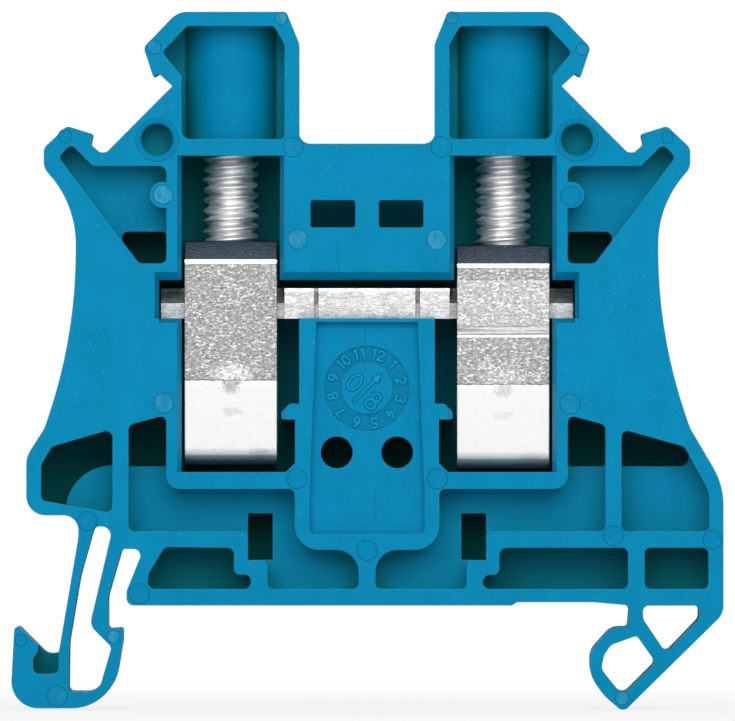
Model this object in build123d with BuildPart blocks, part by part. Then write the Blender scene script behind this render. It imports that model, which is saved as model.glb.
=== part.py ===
from build123d import *
from math import atan2, hypot, tan
import os

# Feed-through terminal block for a 35 mm rail, all sizes in millimetres.
# +X runs along the wire, +Y away from the open face, +Z up from the rail.
# The origin is on the rail seat, under the middle of the block, at half its thickness.

# Slab
thickness = 10.2
back_wall = 1.0
seat_z = 0.0
tower_top = 39.85
gap_floor_z = 31.0
gap_half_width = 4.55
left_reach = 22.87
right_reach = 23.93
left_shoulder = 1.23
right_shoulder = 2.25
cheek_blend = 1.0
waist_arc_reach = 5.9

# Clamping chambers, one on each side of the middle
pole_x = 9.15
chamber_half_width = 3.3
ceiling_z = 30.2
ceiling_thickness = 1.1
floor_z = 8.95
nose_x = 5.75
nose_low_z = 12.48
nose_high_z = 13.54
nose_lip_width = 0.37
lip_width = 0.3
lip_depth = 1.0
top_lip_height = 0.55

# Current bar
bar_z = 19.25
bar_thickness = 2.05
bar_headroom = 0.55
bar_half_length = 13.86
bar_end_gap = 0.1
bar_middle_half_length = 5.55
bar_front_y = -4.5
bar_arm_half_depth = 2.1
bar_arm_bevel = 0.6
bar_arm_lower_bevel = 0.1
bar_middle_bevel = 0.15
bar_groove_x = 3.4
bar_groove_width = 0.28
bar_groove_depth = 0.25

# Clamping screws
shank_radius = 1.85
shank_clearance = 0.08
tip_gap = 0.3
head_radius = 2.75
head_height = 2.5
head_clearance = 0.09
slot_width = 1.0
slot_depth = 1.2

# Folded steel clamps
clamp_width = 6.2
clamp_half_depth = 3.7
clamp_height = 15.05
clamp_sheet = 1.1
clamp_lower_height = 5.7
clamp_lower_inner = 1.85
clamp_fold_radius = 0.25
clamp_knee_radius = 3.0
clamp_floor_radius = 0.5
clamp_heel_radius = 0.8
clamp_facet_height = 1.3
clamp_facet_depth = 1.0
clamp_facet_radius = 0.3
clamp_top_setback = 0.1
clamp_ply_gap = 0.05
clamp_end_gap = 0.3
left_clamp_lift = 0.5
right_clamp_lift = 0.22

# Screwdriver shafts in the towers
shaft_radius = 2.65
shaft_wall = 0.6
tower_pocket_depth = 4.0

# Bridge shafts in the middle block
bridge_x = 2.29
bridge_width = 3.2
bridge_depth = 5.6
bridge_slot_margin = 0.4
window_width = 3.0
window_height = 1.85
window_z = 26.29

# Pockets in the open face
shallow_pocket = 2.5
lower_pocket = 3.0
foot_pocket = 5.0
middle_recess = 0.7
boss_x = 13.7
boss_z = 27.55
boss_radius = 0.88
light_floor_z = 9.32
upper_floor_z = 25.1
cheek_rib_x = 17.08
test_hole_radius = 1.07
test_hole_x = 2.03
test_hole_z = 10.27

# Date dial in the middle recess
dial_z = 14.56
dial_radius = 2.88
dial_disc_radius = 1.71
dial_depth = 0.1

# Locating pegs on the closed side and their holes in the open face
peg_x = 14.09
peg_z = 31.26
peg_radius = 1.0
peg_hole_radius = 1.07
peg_length = 1.2
peg_hole_depth = 2.2
peg_hole_chamfer = 0.18

# Rail feet
rail_width = 35.0
rail_centre_x = 0.13
rail_lip = 1.45
foot_z = -6.9

front_y = -thickness / 2
back_y = thickness / 2
deep_pocket = thickness - back_wall
block_bottom_z = bar_z + bar_thickness + bar_headroom
bar_top_z = bar_z + bar_thickness
chamber_outer_x = pole_x + chamber_half_width
chamber_inner_x = pole_x - chamber_half_width
bar_seat_end_x = bar_half_length + bar_end_gap
waist_x = pole_x + 10.4
waist_corner_z = ceiling_z - 12.0
cheek_top_z = light_floor_z + 2.6
rail_left = rail_centre_x - rail_width / 2
rail_right = rail_centre_x + rail_width / 2
hook_run = right_reach - rail_right
shaft_outer_radius = shaft_radius + shaft_wall
head_seat_z = ceiling_z + ceiling_thickness
open_face = Plane.XZ.offset(thickness / 2)


def placed(origin_x, origin_z, points):
    """Shift (x, z, corner radius) points to an origin."""
    return [(origin_x + x, origin_z + z, radius) for x, z, radius in points]


def flipped(points):
    """Mirror (x, z, corner radius) points about the middle of the block."""
    return [(-x, z, radius) for x, z, radius in points]


def outline(points, plane=open_face):
    """A face on a plane, by itself the open side's, through (x, y, corner radius) points."""
    with BuildSketch(plane) as sketch:
        with BuildLine():
            FilletPolyline(
                [(x, z) for x, z, radius in points],
                radius=[radius for x, z, radius in points],
                close=True,
            )
        make_face()
    return sketch.sketch


def cut_pocket(points, depth):
    """Cut a rounded pocket into the open face."""
    extrude(outline(points), amount=-depth, mode=Mode.SUBTRACT)


def cut_upright_lip(x, width, low, high):
    """Cut a steep lead-in into the open face along an upright edge at x."""
    with BuildSketch(Plane.XY.offset(low)) as lip:
        Polygon((x, front_y), (x + width, front_y), (x, front_y + lip_depth))
    extrude(lip.sketch, amount=high - low, mode=Mode.SUBTRACT)


def cut_level_lip(z, height, left, right):
    """Cut a steep lead-in into the open face along a level edge at z."""
    with BuildSketch(Plane.YZ.offset(left)) as lip:
        Polygon((front_y, z), (front_y, z + height), (front_y + lip_depth, z))
    extrude(lip.sketch, amount=right - left, mode=Mode.SUBTRACT)


def waist_radius(cheek_x):
    """Radius of the arc from the upright waist to a cheek, ending short of the cheek's corner."""
    run = abs(cheek_x - waist_x)
    drop = waist_corner_z - cheek_top_z
    reach = min(hypot(run, drop) - cheek_blend, waist_arc_reach)
    return reach / tan(atan2(run, drop) / 2)


# One upper quarter of the outline, from the gap between the towers to the waist.
# It passes the screwdriver tower, the marker notch and the arm under it.
tower = placed(pole_x, tower_top, [
    (3.55, 0, 1.5), (5.85, -2.4, 0.5), (5.2, -4.37, 0.1), (4.8, -4.15, 0), (3.9, -4.97, 0.1),
])
arm = placed(pole_x, ceiling_z, [
    (8.55, 0, 0.55), (9.4, 0.75, 0.2), (9.27, 1.45, 0.1), (11.0, 1.98, 0.4),
    (12.55, 0.5, 0.7), (12.55, -0.85, 1.1), (10.4, -3.25, 7.0),
])
upper_quarter = [
    (gap_half_width, gap_floor_z, 0.75),
    (gap_half_width, tower_top - 2.12, 0.8),
    (gap_half_width + 0.86, tower_top, 0.35),
] + tower + arm

# The left foot: a cheek, the springing latch with its tooth, and the slot behind it
left_cheek = placed(-left_reach, 0, [
    (left_shoulder, cheek_top_z, 2.0), (0, 9.97, 1.7), (0, 6.05, 1.3), (3.5, 6.05, 1.0),
])
latch = placed(rail_left, 0, [
    (-2.0, 4.6, 3.0), (-3.33, -3.22, 0.3), (-4.1, -3.3, 0.85), (-6.28, -1.12, 0.25),
    (-6.6, foot_z, 1.8), (0.22, foot_z, 3.15), (0.99, -2.4, 1.5), (1.0, -rail_lip - 0.05, 0.2),
    (0, -rail_lip - 0.15, 0.25), (0, 0.57, 1.5),
    (0.93, 3.79, 0.35), (2.37, 3.79, 0.45), (1.23, 0.97, 0.6), (1.23, seat_z, 0.5),
])

# The right foot: the seat's raised end, the fixed hook and the outer wall
right_foot = placed(rail_right, 0, [
    (-7.9, seat_z, 0), (-7.56, 0.22, 0), (-2.4, 0.22, 0), (0, seat_z, 0.35),
    (-0.13, -rail_lip, 0.2), (-1.2, -rail_lip, 1.2), (-2.65, -3.05, 1.5), (-2.66, -4.8, 2.8),
    (-1.66, -6.11, 2.5), (-0.43, foot_z - 0.27, 0.5),
])
right_cheek = placed(right_reach, 0, [
    (0, -0.55, 1.3), (0, 8.1, 5.0), (-right_shoulder, cheek_top_z, 2.0),
])

latch_window = placed(rail_left, 0, [
    (0.32, 5.3, 0.6), (-1.24, -1.34, 0.9), (0.22, -2.79, 0.4), (-0.65, foot_z + 1.1, 1.0),
    (-2.66, foot_z + 1.1, 0.35), (-2.62, -2.52, 5.0), (-1.88, 1.91, 8.0), (-0.93, 5.3, 0.5),
])
hook_window = placed(rail_right, 0, [
    (0.49, -2.03, 0.3), (0.28 * hook_run, -3.81, 0.4), (-0.48, foot_z + 0.86, 0.5),
    (-1.91, -4.26, 0.7), (-1.72, -3.36, 0.8), (-1.26, -2.65, 0.8),
])
corner_window = placed(rail_right, 0, [
    (0.89, -0.01, 0.4), (hook_run - 1.61, -0.01, 0.35), (hook_run - 1.66, -0.91, 0.6),
    (0.387 * hook_run, -3.19, 0.35), (0.91, -0.91, 0.8),
])

# The chamber's open side, from its outer wall to the middle line, with the snap noses
# that hold the clamp, and the passage of the bar at the middle
chamber_side = [
    (chamber_outer_x, ceiling_z, 0),
    (chamber_outer_x, floor_z, 0),
    (5.44, floor_z, 0),
    (4.83, floor_z + 0.6, 0),
    (4.83, nose_low_z, 0),
    (nose_x, nose_low_z, 0.15),
    (nose_x, nose_high_z - 0.54, 0.3),
    (nose_x - 0.55, nose_high_z, 0.2),
    (gap_half_width, nose_high_z, 0),
    (gap_half_width, bar_z, 0),
]
chamber_top_side = [
    (chamber_inner_x, block_bottom_z, 0),
    (chamber_inner_x, ceiling_z, 0),
]
chambers = (
    chamber_side
    + flipped(chamber_side)[::-1]
    + flipped(chamber_top_side)[::-1]
    + chamber_top_side
)

# Wire funnels: distance from the middle, lower and upper height, and half depth
funnel_stations = [
    (waist_x + 3.6, 11.4, 31.5, 4.1),
    (chamber_outer_x + 4.0, 13.0, 22.6, 3.7),
    (chamber_outer_x + 2.9, 13.3, 20.2, 3.3),
    (chamber_outer_x + 2.05, 13.6, bar_z - 0.7, 3.0),
    (chamber_outer_x - 0.25, 14.0, bar_z - 0.7, 2.9),
]

left_waist = (-waist_x, waist_corner_z, waist_radius(left_reach - left_shoulder))
right_waist = (waist_x, waist_corner_z, waist_radius(right_reach - right_shoulder))
slab = (
    flipped(upper_quarter) + [left_waist] + left_cheek + latch
    + right_foot + right_cheek + [right_waist] + upper_quarter[::-1]
)

with BuildPart() as housing:
    # The slab in its full outline, with the windows of the feet
    extrude(outline(slab), amount=-thickness)
    for window in (latch_window, hook_window, corner_window):
        cut_pocket(window, thickness)

    # Both chambers and the passage between them, and the seats of the bar's ends
    cut_pocket(chambers, deep_pocket)
    for side in (-1, 1):
        with BuildSketch(open_face):
            with Locations((side * (bar_seat_end_x + pole_x) / 2, (bar_z + block_bottom_z) / 2)):
                Rectangle(bar_seat_end_x - pole_x, block_bottom_z - bar_z)
        extrude(amount=-(thickness / 2 + bar_arm_half_depth + bar_end_gap), mode=Mode.SUBTRACT)

    # Steep lead-ins where the clamps and the bar are pushed in from the open face
    for side in (-1, 1):
        cut_upright_lip(side * chamber_outer_x, side * lip_width, floor_z, ceiling_z)
        cut_upright_lip(side * chamber_inner_x, -side * lip_width, block_bottom_z, ceiling_z)
        cut_upright_lip(side * nose_x, -side * nose_lip_width, nose_low_z, nose_high_z)
    cut_level_lip(bar_z, -lip_width, -bar_seat_end_x, -chamber_outer_x)
    cut_level_lip(bar_z, -lip_width, chamber_outer_x, bar_seat_end_x)
    with BuildSketch(open_face):
        with Locations((0, bar_z)):
            Rectangle(
                2 * (bar_seat_end_x + lip_width),
                block_bottom_z + top_lip_height - bar_z,
                align=(Align.CENTER, Align.MIN),
            )
    with BuildSketch(open_face.offset(-lip_depth)):
        with Locations((0, bar_z)):
            Rectangle(2 * bar_seat_end_x, block_bottom_z - bar_z, align=(Align.CENTER, Align.MIN))
    loft(ruled=True, mode=Mode.SUBTRACT)

    # Wire funnels between the two skins, narrowing towards the clamps
    for side in (-1, 1):
        for x, low, high, half_depth in funnel_stations:
            with BuildSketch(Plane.YZ.offset(side * x)):
                with Locations((0, (low + high) / 2)):
                    RectangleRounded(2 * half_depth, high - low, 0.8)
        loft(ruled=True, mode=Mode.SUBTRACT)

    # Bridge shafts down to the bar, with a window each in the open face
    with BuildSketch(Plane.XY.offset(gap_floor_z)):
        with Locations((-bridge_x, 0), (bridge_x, 0)):
            Rectangle(bridge_width, bridge_depth)
    extrude(amount=-(gap_floor_z - block_bottom_z), mode=Mode.SUBTRACT)
    with BuildSketch(open_face):
        with Locations((-bridge_x, window_z), (bridge_x, window_z)):
            RectangleRounded(window_width, window_height, 0.2)
    extrude(amount=-thickness / 2, mode=Mode.SUBTRACT)

    # Tower pockets with the round shafts standing in them
    tower_pocket = [
        (pole_x + 2.95, tower_top - 0.96, 0.3),
        (gap_half_width + 1.7, tower_top - 0.96, 0.3),
        (gap_half_width + 0.98, tower_top - 2.2, 0.5),
        (gap_half_width + 0.98, head_seat_z, 0.3),
        (pole_x + 3.3, head_seat_z, 0.6),
        (pole_x + 3.3, tower_top - 4.3, 0.3),
        (pole_x + 4.6, tower_top - 2.73, 0.3),
    ]
    cut_pocket(tower_pocket, tower_pocket_depth)
    cut_pocket(flipped(tower_pocket), tower_pocket_depth)
    with BuildSketch(Plane.XY.offset(head_seat_z)):
        with Locations((-pole_x, 0), (pole_x, 0)):
            Circle(shaft_outer_radius)
    extrude(amount=tower_top - head_seat_z - 0.5)
    with BuildSketch(Plane.XY.offset(tower_top)):
        with Locations((-pole_x, 0), (pole_x, 0)):
            Circle(shaft_radius)
    extrude(amount=-(tower_top - head_seat_z), mode=Mode.SUBTRACT)
    with BuildSketch(Plane.XY.offset(head_seat_z)):
        with Locations((-pole_x, 0), (pole_x, 0)):
            Circle(head_radius + head_clearance)
    extrude(amount=head_height + head_clearance, mode=Mode.SUBTRACT)
    with BuildSketch(Plane.XY.offset(head_seat_z)):
        with Locations((-pole_x, 0), (pole_x, 0)):
            Circle(shank_radius + shank_clearance)
    extrude(amount=-ceiling_thickness, mode=Mode.SUBTRACT)

    # Upper side pockets, each with a deep end next to the chamber
    upper_pocket = placed(pole_x, 0, [
        (10.72, 30.97, 0.35), (9.24, 29.5, 0.3), (4.31, 29.5, 0.5), (4.31, 22.95, 0.4),
        (6.15, 22.95, 0.5), (11.55, 30.1, 0.35),
    ])
    upper_deep_end = placed(pole_x, 0, [
        (4.31, upper_floor_z, 0.3), (4.31, 22.95, 0.4), (6.15, 22.95, 0.5), (7.77, upper_floor_z, 0.45),
    ])
    for points in (upper_pocket, flipped(upper_pocket)):
        cut_pocket(points, shallow_pocket)
    for points in (upper_deep_end, flipped(upper_deep_end)):
        cut_pocket(points, deep_pocket)
    with BuildSketch(open_face):
        with Locations((-boss_x, boss_z), (boss_x, boss_z)):
            Circle(boss_radius)
    extrude(amount=-shallow_pocket)

    # Pockets beside and under the chambers, around the frame of the middle
    under_pocket = [
        (16.01, 12.11, 0.45), (13.47, 12.8, 0.4), (13.47, 7.82, 0.9), (4.85, 7.82, 0.4),
        (4.85, 3.73, 1.65), (0.56, 3.73, 1.5), (0.56, 1.11, 0.4), (6.69, 1.11, 0.4),
        (6.69, 3.05, 0.4), (7.93, 3.05, 0), (7.93, 4.97, 0.45), (16.01, 4.97, 0.45),
    ]
    under_deep_end = [
        (16.01, 12.11, 0.45), (13.47, 12.8, 0.4), (13.47, light_floor_z, 0.2), (16.01, light_floor_z, 0.2),
    ]
    for points in (under_pocket, flipped(under_pocket)):
        cut_pocket(points, lower_pocket)
    for points in (under_deep_end, flipped(under_deep_end)):
        cut_pocket(points, deep_pocket)
    with BuildSketch(open_face):
        with Locations((-7.17, 4.61), (7.17, 4.61)):
            Rectangle(1.66, 3.12)
    extrude(amount=-deep_pocket, mode=Mode.SUBTRACT)

    # Cheek pockets: the left one deep round a low corner floor, the right one deep above
    left_cheek_pocket = placed(-left_reach, cheek_top_z, [
        (1.73, -1.25, 0.4), (left_reach - cheek_rib_x, -0.07, 0.45), (left_reach - cheek_rib_x, -5.72, 0.4),
        (0.99, -4.87, 0.4), (0.99, -2.47, 1.0),
    ])
    cut_pocket(left_cheek_pocket, lower_pocket)
    with BuildSketch(open_face):
        add(outline(left_cheek_pocket))
        with Locations((-cheek_rib_x, cheek_top_z - 5.72)):
            Circle(3.2, mode=Mode.SUBTRACT)
    extrude(amount=-deep_pocket, mode=Mode.SUBTRACT)
    right_cheek_pocket = placed(right_reach, cheek_top_z, [
        (cheek_rib_x - right_reach, -0.08, 0.4), (-2.63, -1.26, 0.4), (-0.95, -4.32, 1.8),
        (-0.95, -6.95, 0.4), (cheek_rib_x - right_reach, -6.95, 0.4),
    ])
    right_deep_end = placed(right_reach, cheek_top_z, [
        (cheek_rib_x - right_reach, -0.08, 0.4), (-2.63, -1.26, 0.4), (-1.87, -2.6, 0.6),
        (cheek_rib_x - right_reach, -2.6, 0.1),
    ])
    cut_pocket(right_cheek_pocket, lower_pocket)
    cut_pocket(right_deep_end, deep_pocket)

    # Pockets along the rail seat and in the latch
    foot_pockets = (
        [(-14.85, 1.11, 0.5), (-14.63, 2.18, 1.0), (-13.57, 3.92, 0.45), (-8.93, 3.87, 0.45),
         (-8.93, 2.07, 0.4), (-7.8, 2.07, 0.45), (-7.8, 1.11, 0.45)],
        [(8.89, 3.88, 0.5), (8.89, 2.05, 0.45), (7.77, 2.05, 0.46), (7.77, 1.11, 0.46),
         (17.52, 1.11, 0.4), (17.52, 3.88, 0.4)],
        [(18.64, 3.88, 0.4), (18.64, 1.11, 0.4), (right_reach - 1.01, 1.11, 0.4),
         (right_reach - 1.01, 3.88, 0.4)],
    )
    for points in foot_pockets:
        cut_pocket(points, foot_pocket)
    cut_pocket(placed(rail_left, 0, [
        (-4.68, -2.4, 0), (-4.73, -3.15, 0.2), (-5.05, -3.6, 0.2), (-5.05, -4.6, 0.45),
        (-3.3, -4.6, 0.45), (-3.35, -2.4, 0),
    ]), foot_pocket)

    # Shallow recess in the middle, with two test holes
    cut_pocket([
        (-3.42, bar_z - 0.22, 0), (-3.87, 7.75, 0), (-3.87, 4.76, 0.4), (3.87, 4.76, 0.4),
        (3.87, 7.75, 0), (3.42, bar_z - 0.22, 0),
    ], middle_recess)
    with BuildSketch(open_face):
        with Locations((-test_hole_x, test_hole_z), (test_hole_x, test_hole_z)):
            Circle(test_hole_radius)
    extrude(amount=-deep_pocket, mode=Mode.SUBTRACT)

    # Ring of the date dial, sunk a little into the floor of the recess
    with BuildSketch(open_face.offset(-middle_recess)):
        with Locations((0, dial_z)):
            Circle(dial_radius)
            Circle(dial_disc_radius, mode=Mode.SUBTRACT)
    extrude(amount=-dial_depth, mode=Mode.SUBTRACT)

    # Locating holes in the open face and pegs on the closed side
    with BuildSketch(open_face):
        with Locations((-peg_x, peg_z), (peg_x, peg_z)):
            Circle(peg_hole_radius)
    extrude(amount=-peg_hole_depth, mode=Mode.SUBTRACT)
    with BuildSketch(open_face):
        with Locations((-peg_x, peg_z), (peg_x, peg_z)):
            Circle(peg_hole_radius + peg_hole_chamfer)
    extrude(amount=-peg_hole_chamfer, taper=45, mode=Mode.SUBTRACT)
    with BuildSketch(Plane.XZ.offset(-back_y)):
        with Locations((-peg_x, peg_z), (peg_x, peg_z)):
            Circle(peg_radius)
    extrude(amount=-peg_length)

with BuildPart() as current_bar:
    # The arms through the clamps are sheared: blunt below mid height, and drawn in above it
    mid_z = bar_z + bar_thickness / 2
    with BuildSketch(Plane.YZ):
        Polygon(
            (bar_arm_half_depth, mid_z),
            (bar_arm_half_depth - bar_arm_bevel, bar_top_z),
            (-bar_arm_half_depth + bar_arm_bevel, bar_top_z),
            (-bar_arm_half_depth, mid_z),
            (-bar_arm_half_depth + bar_arm_lower_bevel, bar_z),
            (bar_arm_half_depth - bar_arm_lower_bevel, bar_z),
        )
    extrude(amount=bar_half_length, both=True)
    # The wide middle reaches from near the open face to the closed wall
    bar_back_y = back_y - back_wall - bar_end_gap
    with BuildSketch(Plane.YZ):
        Polygon(
            (bar_back_y, bar_z),
            (bar_back_y, bar_top_z),
            (bar_front_y + bar_middle_bevel, bar_top_z),
            (bar_front_y, mid_z),
            (bar_front_y + bar_middle_bevel, bar_z),
        )
    extrude(amount=bar_middle_half_length, both=True)
    # Two slots under the bridge shafts
    with BuildSketch(Plane.XY.offset(bar_top_z)):
        with Locations((-bridge_x, 0), (bridge_x, 0)):
            Rectangle(bridge_width - 2 * bridge_slot_margin, bridge_depth - 2 * bridge_slot_margin)
    extrude(amount=-bar_thickness, mode=Mode.SUBTRACT)
    # Two upright grooves in the front
    with BuildSketch(Plane.XY.offset(bar_z)):
        with Locations((-bar_groove_x, bar_front_y), (bar_groove_x, bar_front_y)):
            Rectangle(bar_groove_width, 2 * bar_groove_depth)
    extrude(amount=bar_thickness, mode=Mode.SUBTRACT)


def screw(axis_x):
    """A slotted cheese head screw that turns in the ceiling and draws its clamp up."""
    tip_z = bar_top_z + tip_gap
    with BuildPart() as piece:
        with BuildSketch(Plane.XZ):
            with Locations((axis_x, head_seat_z)):
                Rectangle(head_radius, head_height, align=(Align.MIN, Align.MIN))
            with Locations((axis_x, tip_z)):
                Rectangle(shank_radius, head_seat_z - tip_z, align=(Align.MIN, Align.MIN))
        revolve(axis=Axis((axis_x, 0, 0), (0, 0, 1)))
        chamfer(piece.faces().sort_by(Axis.Z)[0].edges(), 0.3)
        chamfer(piece.faces().sort_by(Axis.Z)[-1].edges(), 0.25)
        with BuildSketch(Plane.XY.offset(head_seat_z + head_height)):
            with Locations((axis_x, 0)):
                Rectangle(2 * head_radius, slot_width)
        extrude(amount=-slot_depth, mode=Mode.SUBTRACT)
    return piece


def clamp(axis_x, lift):
    """A cage folded from one strip, doubled at its threaded top."""
    bottom = floor_z + lift
    top = bottom + clamp_height
    knee = bottom + clamp_lower_height
    inner = clamp_half_depth - clamp_sheet
    under_ply_z = top - 2 * clamp_sheet - clamp_ply_gap
    # The walls lean in below the knee, and the outer lines follow at the sheet's thickness
    lean = (inner - clamp_lower_inner) / (knee - bottom - clamp_sheet)
    outer_knee = knee - clamp_sheet * lean / 2
    lower_outer = clamp_lower_inner + clamp_sheet * (1 - lean)
    outer_fold_radius = clamp_fold_radius + clamp_sheet
    outer_knee_radius = clamp_knee_radius + clamp_sheet
    section = [
        (clamp_end_gap - inner, under_ply_z, 0),
        (inner, under_ply_z, clamp_fold_radius),
        (inner, knee, clamp_knee_radius),
        (clamp_lower_inner, bottom + clamp_sheet, clamp_floor_radius),
        (-clamp_lower_inner, bottom + clamp_sheet, clamp_floor_radius),
        (-inner, knee, clamp_knee_radius),
        (-inner, top - clamp_sheet, clamp_fold_radius),
        (clamp_half_depth - clamp_top_setback, top - clamp_sheet, 0),
        (clamp_half_depth - clamp_top_setback, top, 0),
        (clamp_facet_depth - clamp_half_depth, top, clamp_facet_radius),
        (-clamp_half_depth, top - clamp_facet_height, clamp_facet_radius),
        (-clamp_half_depth, outer_knee, outer_knee_radius),
        (-lower_outer, bottom, clamp_heel_radius),
        (lower_outer, bottom, clamp_heel_radius),
        (clamp_half_depth, outer_knee, outer_knee_radius),
        (clamp_half_depth, under_ply_z + clamp_sheet, outer_fold_radius),
        (clamp_end_gap - inner, under_ply_z + clamp_sheet, 0),
    ]
    with BuildPart() as piece:
        side_plane = Plane.YZ.offset(axis_x - clamp_width / 2)
        extrude(outline(section, side_plane), amount=clamp_width)
        with BuildSketch(Plane.XY.offset(top)):
            with Locations((axis_x, 0)):
                Circle(shank_radius + shank_clearance)
        extrude(amount=-3 * clamp_sheet, mode=Mode.SUBTRACT)
    return piece


left_screw = screw(-pole_x)
right_screw = screw(pole_x)
left_clamp = clamp(-pole_x, left_clamp_lift)
right_clamp = clamp(pole_x, right_clamp_lift)

pieces = {
    "housing": housing,
    "current_bar": current_bar,
    "left_screw": left_screw,
    "right_screw": right_screw,
    "left_clamp": left_clamp,
    "right_clamp": right_clamp,
}
os.makedirs("parts", exist_ok=True)
for name, piece in pieces.items():
    piece.part.label = name
    export_step(piece.part, f"parts/{name}.step")
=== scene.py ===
import math

import bmesh
import bpy
import numpy as np
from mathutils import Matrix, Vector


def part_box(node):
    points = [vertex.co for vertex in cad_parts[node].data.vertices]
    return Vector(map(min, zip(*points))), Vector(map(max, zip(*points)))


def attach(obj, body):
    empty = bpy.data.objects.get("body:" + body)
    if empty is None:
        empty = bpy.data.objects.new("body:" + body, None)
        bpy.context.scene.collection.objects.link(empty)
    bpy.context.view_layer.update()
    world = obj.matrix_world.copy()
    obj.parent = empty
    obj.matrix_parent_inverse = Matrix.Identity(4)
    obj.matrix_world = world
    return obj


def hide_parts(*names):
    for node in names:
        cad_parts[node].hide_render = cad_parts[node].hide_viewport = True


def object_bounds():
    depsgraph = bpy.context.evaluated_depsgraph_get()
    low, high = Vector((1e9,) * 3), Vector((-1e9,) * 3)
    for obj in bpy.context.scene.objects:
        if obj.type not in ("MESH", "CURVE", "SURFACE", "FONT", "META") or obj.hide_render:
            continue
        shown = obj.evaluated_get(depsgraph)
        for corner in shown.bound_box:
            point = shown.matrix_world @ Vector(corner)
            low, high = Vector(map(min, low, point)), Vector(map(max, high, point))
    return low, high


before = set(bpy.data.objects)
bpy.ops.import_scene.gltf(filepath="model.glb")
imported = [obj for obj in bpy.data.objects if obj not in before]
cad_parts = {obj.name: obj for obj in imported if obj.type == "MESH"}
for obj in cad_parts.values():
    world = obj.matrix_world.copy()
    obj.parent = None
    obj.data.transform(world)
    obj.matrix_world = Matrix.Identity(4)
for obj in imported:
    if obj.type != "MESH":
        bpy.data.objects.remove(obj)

bl_info = {
    "name": "Feed-through terminal block",
    "version": (1, 0, 0),
    "blender": (4, 5, 0),
    "location": "3D View > Sidebar > Terminal block",
    "description": "Finishes a rail-mounted feed-through terminal block and sets it in a plain studio",
    "category": "Object",
}

MM = 0.001
CAD_BOX = [[float(c) for c in corner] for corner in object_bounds()]
FRONT_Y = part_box("housing")[0][1]
LEFT_SCREW_LOW, LEFT_SCREW_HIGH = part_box("left_screw")
POLE_X = -(LEFT_SCREW_LOW[0] + LEFT_SCREW_HIGH[0]) / 2
SCREW_TIP_Z = LEFT_SCREW_LOW[2]
SCREW_TOP_Z = LEFT_SCREW_HIGH[2]
DIAL_Z = 14.56 * MM
DIAL_RADIUS = 2.9 * MM
DIAL_DISC_Y = FRONT_Y + 0.7 * MM
DIAL_RING_Y = FRONT_Y + 0.8 * MM
# The photograph's size and scale, and the column and row where it shows the origin
PHOTO_WIDTH_PX = 735
PHOTO_HEIGHT_PX = 721
PX_PER_MM = 14.9
ORIGIN_COLUMN_PX = 367.0
ORIGIN_ROW_PX = 605.5
# Shades that spots of the finishes fade to; the figures' foot and the clamps' heel are painted shade,
# and the figures' crest is a painted highlight
FIGURE_FOOT_SHADE = (0.0, 0.07, 0.18, 1.0)
FIGURE_CREST_HIGHLIGHT = (0.02, 0.44, 0.65, 1.0)
PIN_MARK = (0.0, 0.16, 0.36, 1.0)
PIN_MARK_RIM = (0.0, 0.09, 0.16, 1.0)
LINE_SHADE = (0.0, 0.1, 0.2, 1.0)
CLAMP_STAIN = (0.4, 0.38, 0.32, 1.0)
CLAMP_DUST = (0.45, 0.42, 0.36, 1.0)
# Darker colour of the spots round a punched dimple
CLAMP_DIMPLE_DARK = (0.2, 0.19, 0.18, 1.0)
# Painted shade at the clamps' heel, where the wall bends away
CLAMP_HEEL_SHADE = (0.05, 0.052, 0.06, 1.0)


class HousingSettings(bpy.types.PropertyGroup):
    """Finish of the moulded housing"""

    colour: bpy.props.FloatVectorProperty(
        name="Colour", description="Colour of the moulded plastic", subtype="COLOR",
        min=0.0, max=1.0, default=(0.0, 0.271, 0.505),
    )
    # Also the colour of the painted highlight on upper edges
    scuff_colour: bpy.props.FloatVectorProperty(
        name="Scuff and highlight colour", description="Pale blue of rubbed edges and specks", subtype="COLOR",
        min=0.0, max=1.0, default=(0.1, 0.48, 0.66),
    )
    roughness: bpy.props.FloatProperty(
        name="Roughness", description="Roughness of the flat faces", subtype="FACTOR",
        min=0.0, max=1.0, default=0.5,
    )
    edge_radius: bpy.props.FloatProperty(
        name="Edge radius", description="Softness of the moulded edges", unit="LENGTH",
        default=0.08 * MM,
    )
    grain_height: bpy.props.FloatProperty(
        name="Grain height", description="Height of the fine grain left by the mould", unit="LENGTH",
        default=0.003 * MM,
    )
    # Painted shade: the plastic is tinted darker and greener where little open space is round it
    deep_colour: bpy.props.FloatVectorProperty(
        name="Painted pocket shade", description="Colour of the plastic deep in the pockets", subtype="COLOR",
        min=0.0, max=1.0, default=(0.0, 0.25, 0.2),
    )
    # Painted highlight: how pale the upper side of an edge is painted
    edge_glint: bpy.props.FloatProperty(
        name="Edge glint", description="How pale the upper side of an edge is", subtype="FACTOR",
        min=0.0, max=1.0, default=0.6,
    )


class MouldMarkSettings(bpy.types.PropertyGroup):
    """Round marks of the ejector pins on the open face"""

    relief: bpy.props.FloatProperty(
        name="Relief", description="Height of a mark's rim over the face", unit="LENGTH",
        default=0.012 * MM,
    )
    rim_width: bpy.props.FloatProperty(
        name="Rim width", description="Width of the dark line round a mark", unit="LENGTH",
        default=0.07 * MM,
    )


class DialSettings(bpy.types.PropertyGroup):
    """Date dial in the middle recess"""

    number_radius: bpy.props.FloatProperty(
        name="Number circle", description="Radius that the numbers stand on", unit="LENGTH",
        default=2.36 * MM,
    )
    number_height: bpy.props.FloatProperty(
        name="Number size", description="Line height of the numbers 1 to 12", unit="LENGTH",
        default=0.72 * MM,
    )
    digit_height: bpy.props.FloatProperty(
        name="Digit size", description="Line height of both digits by the arrow", unit="LENGTH",
        default=1.28 * MM,
    )
    relief: bpy.props.FloatProperty(
        name="Relief", description="How far numbers and arrow stand up", unit="LENGTH",
        default=0.09 * MM,
    )


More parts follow.
